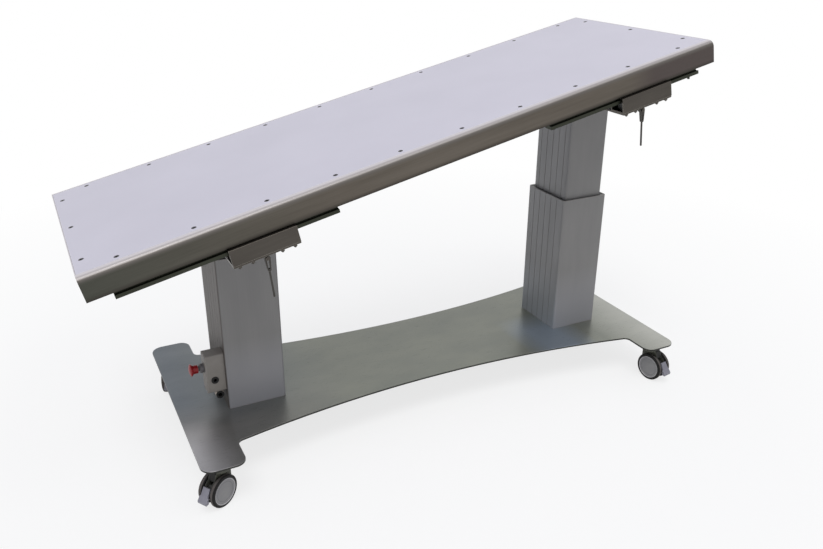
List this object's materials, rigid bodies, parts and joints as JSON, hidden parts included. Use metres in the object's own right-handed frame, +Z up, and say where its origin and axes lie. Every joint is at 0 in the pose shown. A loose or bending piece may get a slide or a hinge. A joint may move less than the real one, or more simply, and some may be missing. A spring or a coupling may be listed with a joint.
{
  "type": "radiography table",
  "caption": "Mobile radiography table: tilting, sliding flat top on twin lifting columns, waisted base plate and braked twin-wheel castors.",
  "frame": {"origin": "on the floor, under the middle of the whole table's box as it stands in the stored pose", "axes": "+X along the table towards its raised end, +Y to the rear long side, +Z up"},
  "size_m": [1.966, 0.8502, 1.2114],
  "materials": {
    "plate_steel": "brushed stainless plate",
    "zinc_steel": "turned steel",
    "guide_plastic": "moulded",
    "column_aluminium": "anodised extrusion",
    "drive_casting": "cast, painted",
    "box_paint": "moulded enclosure",
    "socket_plastic": "moulded",
    "collar_plastic": "moulded",
    "button_red": "moulded",
    "bracket_steel": "satin stainless",
    "lever_steel": "satin steel",
    "frame_steel": "brushed stainless sheet",
    "panel_laminate": "smooth compact laminate",
    "screw_steel": "plain steel",
    "housing_plastic": "moulded",
    "pedal_plastic": "moulded",
    "rail_steel": "blacked bar",
    "hub_plastic": "moulded",
    "tyre_rubber": "moulded tread"
  },
  "bodies": {
    "base": {"base_plate": "plate_steel", "castor_stems": "zinc_steel", "column_top_guides": "guide_plastic", "left_outer_tube": "column_aluminium", "right_outer_tube": "column_aluminium", "left_drive_unit": "drive_casting", "right_drive_unit": "drive_casting", "control_box_shell": "box_paint", "control_box_cover": "box_paint", "control_box_sockets": "socket_plastic", "stop_button_collar": "collar_plastic"},
    "left_lift_column": {"left_inner_tube": "column_aluminium", "left_drive_ram": "drive_casting", "left_head_yoke": "zinc_steel"},
    "left_pivot": {"left_pivot_shaft": "zinc_steel"},
    "left_carriage": {"left_cross_plate": "bracket_steel", "left_carriage_channels": "bracket_steel", "left_glide_blocks": "guide_plastic"},
    "left_lever": {"left_clamp_lever": "lever_steel"},
    "right_lift_column": {"right_inner_tube": "column_aluminium", "right_drive_ram": "drive_casting", "right_head_yoke": "zinc_steel"},
    "right_pivot": {"right_pivot_shaft": "zinc_steel"},
    "right_carriage": {"right_cross_plate": "bracket_steel", "right_carriage_channels": "bracket_steel", "right_glide_blocks": "guide_plastic"},
    "right_lever": {"right_clamp_lever": "lever_steel"},
    "tabletop": {"front_side_channel": "frame_steel", "rear_side_channel": "frame_steel", "end_channels": "frame_steel", "top_panel": "panel_laminate", "top_screws": "screw_steel", "t_rails": "rail_steel", "rail_stops": "rail_steel"},
    "stop_plunger": {"stop_button_plunger": "collar_plastic"},
    "stop_head": {"stop_button_head": "button_red"},
    "front_left_castor": {"front_left_castor_housing": "housing_plastic"},
    "front_left_pedal": {"front_left_brake_pedal": "pedal_plastic"},
    "front_left_outer_wheel": {"front_left_outer_hub": "hub_plastic", "front_left_outer_tyre": "tyre_rubber"},
    "front_left_inner_wheel": {"front_left_inner_hub": "hub_plastic", "front_left_inner_tyre": "tyre_rubber"},
    "front_right_castor": {"front_right_castor_housing": "housing_plastic"},
    "front_right_pedal": {"front_right_brake_pedal": "pedal_plastic"},
    "front_right_outer_wheel": {"front_right_outer_hub": "hub_plastic", "front_right_outer_tyre": "tyre_rubber"},
    "front_right_inner_wheel": {"front_right_inner_hub": "hub_plastic", "front_right_inner_tyre": "tyre_rubber"},
    "rear_left_castor": {"rear_left_castor_housing": "housing_plastic"},
    "rear_left_pedal": {"rear_left_brake_pedal": "pedal_plastic"},
    "rear_left_outer_wheel": {"rear_left_outer_hub": "hub_plastic", "rear_left_outer_tyre": "tyre_rubber"},
    "rear_left_inner_wheel": {"rear_left_inner_hub": "hub_plastic", "rear_left_inner_tyre": "tyre_rubber"},
    "rear_right_castor": {"rear_right_castor_housing": "housing_plastic"},
    "rear_right_pedal": {"rear_right_brake_pedal": "pedal_plastic"},
    "rear_right_outer_wheel": {"rear_right_outer_hub": "hub_plastic", "rear_right_outer_tyre": "tyre_rubber"},
    "rear_right_inner_wheel": {"rear_right_inner_hub": "hub_plastic", "rear_right_inner_tyre": "tyre_rubber"}
  },
  "joints": [
    {"name": "left_lift", "type": "slide", "parent": "base", "child": "left_lift_column", "axis": [0, 0, 1], "range_m": [0, 0.3]},
    {"name": "right_lift", "type": "slide", "parent": "base", "child": "right_lift_column", "axis": [0, 0, 1], "range_m": [-0.279, 0.021]},
    {"name": "left_shaft_tilt", "type": "hinge", "parent": "left_lift_column", "child": "left_pivot", "pos_m": [-0.50708, 0, 0.717], "axis": [0, -1, 0], "range_deg": [-12.75, 0.96]},
    {"name": "left_carriage_tilt", "type": "hinge", "parent": "left_pivot", "child": "left_carriage", "pos_m": [-0.50708, 0, 0.717], "axis": [0, -1, 0], "range_deg": [-13.7, 0]},
    {"name": "right_shaft_tilt", "type": "hinge", "parent": "right_lift_column", "child": "right_pivot", "pos_m": [0.72692, 0, 0.996], "axis": [0, -1, 0], "range_deg": [-12.75, 0.96]},
    {"name": "right_carriage_tilt", "type": "hinge", "parent": "right_pivot", "child": "right_carriage", "pos_m": [0.72692, 0, 0.996], "axis": [0, -1, 0], "range_deg": [-13.7, 0]},
    {"name": "table_slide", "type": "slide", "parent": "right_carriage", "child": "tabletop", "axis": [0.9754, 0, 0.2205], "range_m": [-0.06, 0.23]},
    {"name": "left_clamp", "type": "hinge", "parent": "left_carriage", "child": "left_lever", "pos_m": [-0.51061, -0.346, 0.73261], "axis": [0, -1, 0], "range_deg": [0, 80]},
    {"name": "right_clamp", "type": "hinge", "parent": "right_carriage", "child": "right_lever", "pos_m": [0.72339, -0.346, 1.01161], "axis": [0, -1, 0], "range_deg": [0, 80]},
    {"name": "stop_press", "type": "slide", "parent": "base", "child": "stop_plunger", "axis": [1, 0, 0], "range_m": [0, 0.004], "stiffness_N_per_m": 1500},
    {"name": "stop_twist", "type": "hinge", "parent": "stop_plunger", "child": "stop_head", "pos_m": [-0.65808, -0.071, 0.291], "axis": [1, 0, 0], "range_deg": [0, 30], "stiffness_Nm_per_rad": 0.05},
    {"name": "front_left_swivel", "type": "hinge", "parent": "base", "child": "front_left_castor", "pos_m": [-0.69308, -0.342, 0.133], "axis": [0, 0, 1], "continuous": true},
    {"name": "front_left_outer_roll", "type": "hinge", "parent": "front_left_castor", "child": "front_left_outer_wheel", "pos_m": [-0.70665, -0.35048, 0.05], "axis": [0.5299, -0.848, 0], "continuous": true},
    {"name": "front_left_inner_roll", "type": "hinge", "parent": "front_left_castor", "child": "front_left_inner_wheel", "pos_m": [-0.70665, -0.35048, 0.05], "axis": [0.5299, -0.848, 0], "continuous": true},
    {"name": "front_left_brake", "type": "hinge", "parent": "front_left_castor", "child": "front_left_pedal", "pos_m": [-0.72495, -0.36191, 0.07084], "axis": [0.5299, -0.848, 0], "range_deg": [0, 7]},
    {"name": "front_right_swivel", "type": "hinge", "parent": "base", "child": "front_right_castor", "pos_m": [0.91292, -0.342, 0.133], "axis": [0, 0, 1], "continuous": true},
    {"name": "front_right_outer_roll", "type": "hinge", "parent": "front_right_castor", "child": "front_right_outer_wheel", "pos_m": [0.9157, -0.35776, 0.05], "axis": [0.9848, 0.1736, 0], "continuous": true},
    {"name": "front_right_inner_roll", "type": "hinge", "parent": "front_right_castor", "child": "front_right_inner_wheel", "pos_m": [0.9157, -0.35776, 0.05], "axis": [0.9848, 0.1736, 0], "continuous": true},
    {"name": "front_right_brake", "type": "hinge", "parent": "front_right_castor", "child": "front_right_pedal", "pos_m": [0.91945, -0.37901, 0.07084], "axis": [0.9848, 0.1736, 0], "range_deg": [0, 7]},
    {"name": "rear_left_swivel", "type": "hinge", "parent": "base", "child": "rear_left_castor", "pos_m": [-0.69308, 0.342, 0.133], "axis": [0, 0, 1], "continuous": true},
    {"name": "rear_left_outer_roll", "type": "hinge", "parent": "rear_left_castor", "child": "rear_left_outer_wheel", "pos_m": [-0.69933, 0.32727, 0.05], "axis": [0.9205, -0.3907, 0], "continuous": true},
    {"name": "rear_left_inner_roll", "type": "hinge", "parent": "rear_left_castor", "child": "rear_left_inner_wheel", "pos_m": [-0.69933, 0.32727, 0.05], "axis": [0.9205, -0.3907, 0], "continuous": true},
    {"name": "rear_left_brake", "type": "hinge", "parent": "rear_left_castor", "child": "rear_left_pedal", "pos_m": [-0.70776, 0.30741, 0.07084], "axis": [0.9205, -0.3907, 0], "range_deg": [0, 7]},
    {"name": "rear_right_swivel", "type": "hinge", "parent": "base", "child": "rear_right_castor", "pos_m": [0.91292, 0.342, 0.133], "axis": [0, 0, 1], "continuous": true},
    {"name": "rear_right_outer_roll", "type": "hinge", "parent": "rear_right_castor", "child": "rear_right_outer_wheel", "pos_m": [0.9157, 0.35776, 0.05], "axis": [-0.9848, 0.1736, 0], "continuous": true},
    {"name": "rear_right_inner_roll", "type": "hinge", "parent": "rear_right_castor", "child": "rear_right_inner_wheel", "pos_m": [0.9157, 0.35776, 0.05], "axis": [-0.9848, 0.1736, 0], "continuous": true},
    {"name": "rear_right_brake", "type": "hinge", "parent": "rear_right_castor", "child": "rear_right_pedal", "pos_m": [0.91945, 0.37901, 0.07084], "axis": [-0.9848, 0.1736, 0], "range_deg": [0, 7]}
  ],
  "couplings": [
    {"joint": "left_shaft_tilt", "follows": "right_lift", "rad_per_m": 0.79697},
    {"joint": "left_carriage_tilt", "follows": "left_lift", "rad_per_m": -0.79697},
    {"joint": "right_shaft_tilt", "follows": "right_lift", "rad_per_m": 0.79697},
    {"joint": "right_carriage_tilt", "follows": "left_lift", "rad_per_m": -0.79697}
  ]
}
